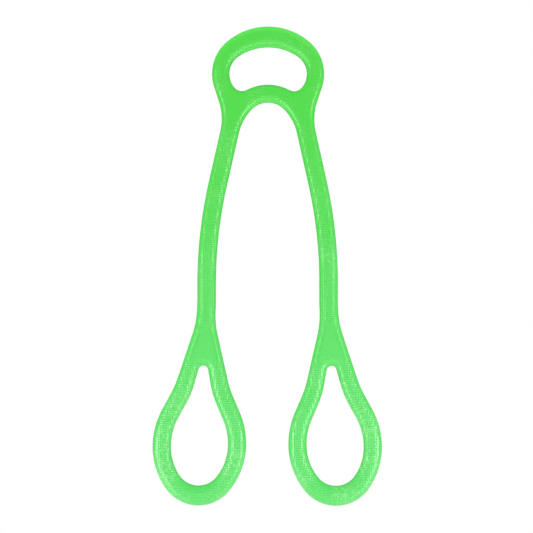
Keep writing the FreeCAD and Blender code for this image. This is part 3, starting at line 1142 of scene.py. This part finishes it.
def opaque(colour: Colour) -> tuple[float, float, float, float]:
    """A colour with full alpha."""
    return (*colour, 1.0)


@dataclass(frozen=True)
class SoftRubber:
    """Satin thermoplastic rubber with a fine diamond emboss on its limbs.

    A band is where a mask eases from 0 to 1, and a share is how much a mask brings in. The colour holds
    painted light: a lighter sheen towards the bottom, painted shade along the edges and in the grain's pits,
    and painted glints on the emboss crests and in flecks.
    """

    name: str = "soft_green_rubber"
    # Painted light: the green turns lighter and bluer from the upper colour to the lower one, a painted sheen
    # where the low lights fall.
    upper: Colour = (0.070, 0.75, 0.052)
    lower: Colour = (0.094, 0.755, 0.130)
    # Painted shade: the darker, more saturated green along the sides of the limbs, also used for the painted
    # shade in the grain's pits.
    edge: Colour = (0.052, 0.70, 0.042)
    # The colour of painted glints: a pale green highlight on the emboss crests and in flecks.
    bloom: Colour = (0.42, 0.92, 0.38)
    height_band: Band = (0.0, -0.43)
    cloud: Noise = Noise(38.0, 3.0)
    grain: Noise = Noise(460.0, 2.0)
    # The painted edge shade fades out over this depth from the parting plane.
    face_band: Band = (0.5 * MM, 5.2 * MM)
    edge_share: float = 0.75
    # Painted shade: dark specks in the grain's pits on the lower limbs, in the painted edge shade's green.
    pit_band: Band = (0.30, 0.48)
    pit_share: float = 0.35
    # Painted highlight on the emboss crests.
    crest_band: Band = (0.4, 2.6)
    crest_share: float = 0.08
    # Painted glints: pale flecks on the limbs, stronger towards the bottom where the low lights fall.
    fleck_grain_band: Band = (0.42, 0.72)
    fleck_cloud_band: Band = (0.40, 0.66)
    fleck_share: float = 0.16
    low_fleck_share: float = 0.30
    roughness: float = 0.25
    roughness_share: float = 0.10
    ior: float = 1.48
    gloss: float = 0.9
    emboss_pitch: float = 2.1 * MM
    relief_depth: float = 0.17 * MM
    emboss_relief: float = 1.0 / 3.0
    web_emboss_share: float = 0.25
    grain_relief: float = 0.35
    cloud_relief: float = 0.8
    web_places: tuple[Point, ...] = ((38.0 * MM, -58.0 * MM), (60.0 * MM, -283.0 * MM))
    web_band: Band = (12.0 * MM, 24.0 * MM)

    def embossed(self, x: Number, y: Number, z: Number) -> Number:
        """The emboss: rows of diamonds on a face, which carry on round the roundings."""
        turns = 2 * math.pi / self.emboss_pitch
        return (x * turns).wave() + (y * turns).wave() + (z * turns).wave()

    def limb_share(self, x: Number, z: Number) -> Number:
        """Tell the limbs from the flat webs where limbs meet.

        Args:
            x: how far the place lies to the right.
            z: how far it lies up.

        Returns:
            1 on the limbs and near 0 on the webs.
        """
        share: Any = 1.0
        for across, level in self.web_places:
            aside = x.magnitude() - across
            above = z - level
            share = x.maths("SQRT", aside * aside + above * above).between(self.web_band) * share
        return share

    def material(self) -> bpy.types.Material:
        """Make the rubber.

        Returns:
            The material.
        """
        made = bpy.data.materials.new(self.name)
        made.use_nodes = True
        graph = Graph(made.node_tree)
        whole, x, y, z = graph.place(REST_PLACE)
        emboss, limbs = self.embossed(x, y, z), self.limb_share(x, z)
        cloud, grain = graph.noise(whole, self.cloud), graph.noise(whole, self.grain)
        # The painted sheen's mask: 0 at the grip and 1 at the loops. It also brings in more painted pit shade
        # and painted glint flecks below.
        low = z.between(self.height_band)
        # Painted shade along the edges of the limbs, near the parting plane.
        edge_shade = 1.0 - y.magnitude().between(self.face_band)
        # Painted shade: dark specks in the grain's pits, on the lower limbs.
        pit_shade = (1.0 - grain.between(self.pit_band)) * limbs * low
        # Painted glints: pale flecks scattered by the grain and the cloud on the limbs.
        glint_flecks = grain.between(self.fleck_grain_band) * cloud.between(self.fleck_cloud_band) * limbs
        # Painted highlight on the emboss crests.
        crest_glints = emboss.between(self.crest_band) * limbs
        # All painted glints: on the crests, and in flecks that grow stronger below, where the low lights
        # fall.
        bloom = crest_glints * self.crest_share + glint_flecks * (self.fleck_share + low * self.low_fleck_share)
        colour = graph.mixed(low, opaque(self.upper), opaque(self.lower))
        colour = graph.mixed(edge_shade * self.edge_share, colour, opaque(self.edge))
        colour = graph.mixed(pit_shade * self.pit_share, colour, opaque(self.edge))
        colour = graph.mixed(bloom, colour, opaque(self.bloom))
        embossing = limbs * (1.0 - self.web_emboss_share) + self.web_emboss_share
        relief = emboss * embossing * self.emboss_relief
        relief = relief + grain * self.grain_relief + cloud * self.cloud_relief
        heights = {"Strength": 1.0, "Distance": self.relief_depth, "Height": relief}
        looks = {
            "Base Color": colour,
            "Roughness": self.roughness + cloud * self.roughness_share,
            "IOR": self.ior,
            "Specular IOR Level": self.gloss,
            "Normal": graph.node("ShaderNodeBump", {}, heights).outputs[0],
        }
        shader = graph.node("ShaderNodeBsdfPrincipled", {}, looks)
        graph.node("ShaderNodeOutputMaterial", {}, {"Surface": shader.outputs[0]})
        return made


@dataclass(frozen=True)
class StudioPaint:
    """Matt pale paint of the floor."""

    name: str = "studio_floor"
    colour: Colour = (0.90, 0.90, 0.90)
    worn: Colour = (0.86, 0.86, 0.86)
    wear: Noise = Noise(3.0, 2.0)
    wear_share: float = 0.1
    roughness: float = 0.9

    def material(self) -> bpy.types.Material:
        """Make the paint.

        Returns:
            The material.
        """
        made = bpy.data.materials.new(self.name)
        made.use_nodes = True
        graph = Graph(made.node_tree)
        wear = graph.noise(graph.place()[0], self.wear)
        colour = graph.mixed(wear * self.wear_share, opaque(self.colour), opaque(self.worn))
        looks = {"Base Color": colour, "Roughness": self.roughness}
        shader = graph.node("ShaderNodeBsdfPrincipled", {}, looks)
        graph.node("ShaderNodeOutputMaterial", {}, {"Surface": shader.outputs[0]})
        return made


# --- The puller and the studio ---


class Joint(NamedTuple):
    """How one skin of a hand bends: its two bodies, and the line over which it turns."""

    skin: str
    upper_body: str
    lower_body: str
    start: Point
    end: Point
    nodes: tuple[str, ...]


def mark_rest_place(piece: Piece) -> None:
    """Keep where each vertex lies at rest, so that the finish moves with the bent rubber.

    Args:
        piece: a finished skin, with its place in its mesh.
    """
    mark = piece.data.attributes.new(REST_PLACE, "FLOAT_VECTOR", "POINT")
    places = [number for vertex in piece.data.vertices for number in vertex.co]
    mark.data.foreach_set("vector", places)


@dataclass
class Puller:
    """The whole moulding: builds every skin and dresses it, and hangs the grip's skin on the frame."""

    moulding: Moulding = field(default_factory=Moulding)
    strap: StrapLine = field(default_factory=StrapLine)
    finish: SoftRubber = field(default_factory=SoftRubber)
    slot: str = "soft_rubber"
    seam_margin: float = 0.6 * MM

    def around(self, axis: Point, ahead: Point, reach: float) -> tuple[Point, Point]:
        """The two ends of a stretch that is centred on a joint's axis."""
        return onward(axis, ahead, -reach), onward(axis, ahead, reach)

    def joints(self) -> list[Joint]:
        """The five joints of a hand, from the hip down.

        Returns:
            The joints, each with the skin that bends there.
        """
        line, margin, down = self.strap, self.seam_margin, (0.0, -1.0)
        fold_way = line.bend_plane((line.lean + line.stretch_seam_angle) / 2).ahead
        fold_reach = math.radians(line.lean - line.stretch_seam_angle) * line.bend_radius - margin
        stretch_way = line.bend_plane(line.lean / 2).ahead
        stretch_seam, shank_seam = line.on_bend(line.stretch_seam_angle), line.on_bend(line.shank_seam_angle)
        hip = self.around(line.hip, line.thigh_plane(0.0).ahead, -line.hip_seam - margin)
        fold = self.around(line.fold, fold_way, fold_reach)
        stretch = (onward(stretch_seam, stretch_way, margin), onward(shank_seam, stretch_way, -margin))
        shank = (onward(shank_seam, down, margin), plus(line.tilt, (0.0, line.ankle_seam + margin)))
        tilt = self.around(line.tilt, down, line.ankle_seam - margin)
        loop_nodes = ("loop_neck", "loop_outer_side", "loop_inner_side", "loop_toe")
        return [
            Joint("hip", "grip", "root", *hip, ("strap_root",)),
            Joint("thigh", "root", "upper", *fold, ("strap_upper",)),
            Joint("stretch", "upper", "lower", *stretch, ("strap_lower",)),
            Joint("shank", "lower", "end", *shank, ("strap_end",)),
            Joint("loop", "end", "loop", *tilt, loop_nodes),
        ]

    def dress(self, piece: Piece, rubber: bpy.types.Material) -> None:
        """Give a skin its finish and its rest places, and log it.

        Args:
            piece: the skin.
            rubber: its finish.
        """
        piece.data.materials.clear()
        piece.data.materials.append(rubber)
        mark_rest_place(piece)
        LOG.info("%s: %d faces", piece.name, len(piece.data.polygons))

    def build(self) -> None:
        """Build and dress all the skins, hang the grip's skin on the frame and hide the CAD parts that they
        stand for.
        """
        rubber = self.finish.material()
        grip, hip = Grip(self.moulding, self.strap).build()
        self.dress(grip, rubber)
        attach(grip, "grip")
        sides = [f"{hand.word}_{name}" for hand in Hand for name in ("grip_side", "shoulder")]
        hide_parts("grip_crown", "grip_bridge", *sides)
        limbs = [hip, *Strap(self.moulding, self.strap).build(), Loop(self.moulding, self.strap).build()]
        for right, joint in zip(limbs, self.joints()):
            left = copied(right, f"left_{joint.skin}_skin")
            left.scale.x = -1.0
            settled(left)
            for hand, piece in ((Hand.LEFT, left), (Hand.RIGHT, right)):
                self.dress(piece, rubber)
                self.hang(piece, hand, joint)

    def hang(self, piece: Piece, hand: Hand, joint: Joint) -> None:
        """Bake a skin's place into its mesh and hide the CAD limbs that it stands for.

        Args:
            piece: the skin.
            hand: the side that it is on.
            joint: the joint that it bends at.
        """
        upper, lower = (
            body if body == "grip" else f"{hand.word}_{body}" for body in (joint.upper_body, joint.lower_body)
        )
        hand.place(joint.start)
        hand.place(joint.end)
        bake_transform(piece)
        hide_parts(*(f"{hand.word}_{node}" for node in joint.nodes))


class Reach(Enum):
    """What a softbox lights: everything, only the gloss or only the matt colour."""

    ALL = (True, True)
    GLOSS = (False, True)
    FILL = (True, False)


class Softbox(NamedTuple):
    """An area light: where it stands, its width and height, its power in watts and its reach."""

    name: str
    place: tuple[float, float, float]
    size: tuple[float, float]
    power: float
    reach: Reach = Reach.ALL


@dataclass
class Studio:
    """Pale floor, white surround, softboxes and the camera."""

    centre: tuple[float, float, float] = (-0.0011, 0.0, -0.2067)
    view_width: float = 0.5026
    lens: float = 120.0
    sensor: float = 36.0
    roll: float = 0.13
    floor_level: float = -0.60
    floor_radius: float = 0.9
    floor_steps: int = 128
    backdrop: float = 1.0
    surround: float = 0.83
    sheen: float = 0.22
    softboxes: tuple[Softbox, ...] = (
        Softbox("left_softbox", (-1.0, -0.45, -0.27), (0.3, 0.5), 2.4),
        Softbox("right_softbox", (1.0, -0.45, -0.27), (0.3, 0.5), 2.4),
        Softbox("low_left_accent", (-0.50, -0.38, -0.52), (0.34, 0.22), 1.9, Reach.GLOSS),
        Softbox("low_right_accent", (0.50, -0.38, -0.52), (0.34, 0.22), 1.9, Reach.GLOSS),
        Softbox("low_front_accent", (0.0, -0.9, -0.50), (0.6, 0.2), 0.6, Reach.GLOSS),
        Softbox("top_fill", (0.0, 0.0, 1.4), (0.8, 0.8), 10.0, Reach.FILL),
    )

    def build(self) -> None:
        """Set up the whole studio."""
        self.add_camera()
        self.add_floor()
        self.add_surround()
        for softbox in self.softboxes:
            self.add_softbox(softbox)
        bpy.context.scene.view_settings.view_transform = "Standard"

    def add_camera(self) -> None:
        """Place the camera square in front of the moulding, with the slight roll."""
        data = bpy.data.cameras.new("camera")
        data.lens = self.lens
        data.sensor_width = self.sensor
        camera = bpy.data.objects.new("camera", data)
        bpy.context.scene.collection.objects.link(camera)
        distance = self.view_width * self.lens / self.sensor
        away = Matrix.Translation(Vector(self.centre) - Vector((0.0, distance, 0.0)))
        upright = Matrix.Rotation(math.pi / 2, 4, "X")
        camera.matrix_world = away @ upright @ Matrix.Rotation(math.radians(self.roll), 4, "Z")
        bpy.context.scene.camera = camera

    def add_floor(self) -> None:
        """Add a round floor below the reach of the stretched loops."""
        bpy.ops.object.select_all(action="DESELECT")
        place = (0.0, 0.0, self.floor_level)
        bpy.ops.mesh.primitive_circle_add(
            vertices=self.floor_steps, radius=self.floor_radius, fill_type="NGON", location=place
        )
        floor = bpy.context.object
        floor.name = "floor"
        settled(floor)
        floor.data.materials.append(StudioPaint().material())

    def add_surround(self) -> None:
        """Light everything evenly from a white surround that shows little in the gloss."""
        world = bpy.data.worlds.new("surround")
        world.use_nodes = True
        graph = Graph(world.node_tree)
        rays = graph.node("ShaderNodeLightPath", {}, {}).outputs
        seen, glossy = Number(graph, rays["Is Camera Ray"]), Number(graph, rays["Is Glossy Ray"])
        strength = self.surround + seen * (self.backdrop - self.surround)
        strength = strength - glossy * (self.surround - self.sheen)
        inputs = {"Color": (1.0, 1.0, 1.0, 1.0), "Strength": strength}
        background = graph.node("ShaderNodeBackground", {}, inputs)
        graph.node("ShaderNodeOutputWorld", {}, {"Surface": background.outputs[0]})
        bpy.context.scene.world = world

    def add_softbox(self, softbox: Softbox) -> None:
        """Add an area light that faces the middle of the moulding.

        Args:
            softbox: the light to add.
        """
        data = bpy.data.lights.new(softbox.name, "AREA")
        data.shape = "RECTANGLE"
        data.size, data.size_y = softbox.size
        data.energy = softbox.power
        light = bpy.data.objects.new(softbox.name, data)
        bpy.context.scene.collection.objects.link(light)
        place = Vector(softbox.place)
        light.location = place
        light.rotation_euler = (Vector(self.centre) - place).to_track_quat("-Z", "Y").to_euler()
        light.visible_camera = False
        light.visible_diffuse, light.visible_glossy = softbox.reach.value


def main() -> None:
    """Build the puller and its studio, in order."""
    logging.basicConfig(level=logging.INFO, format="%(message)s")
    Puller().build()
    Studio().build()


if __name__ == "__main__":
    main()
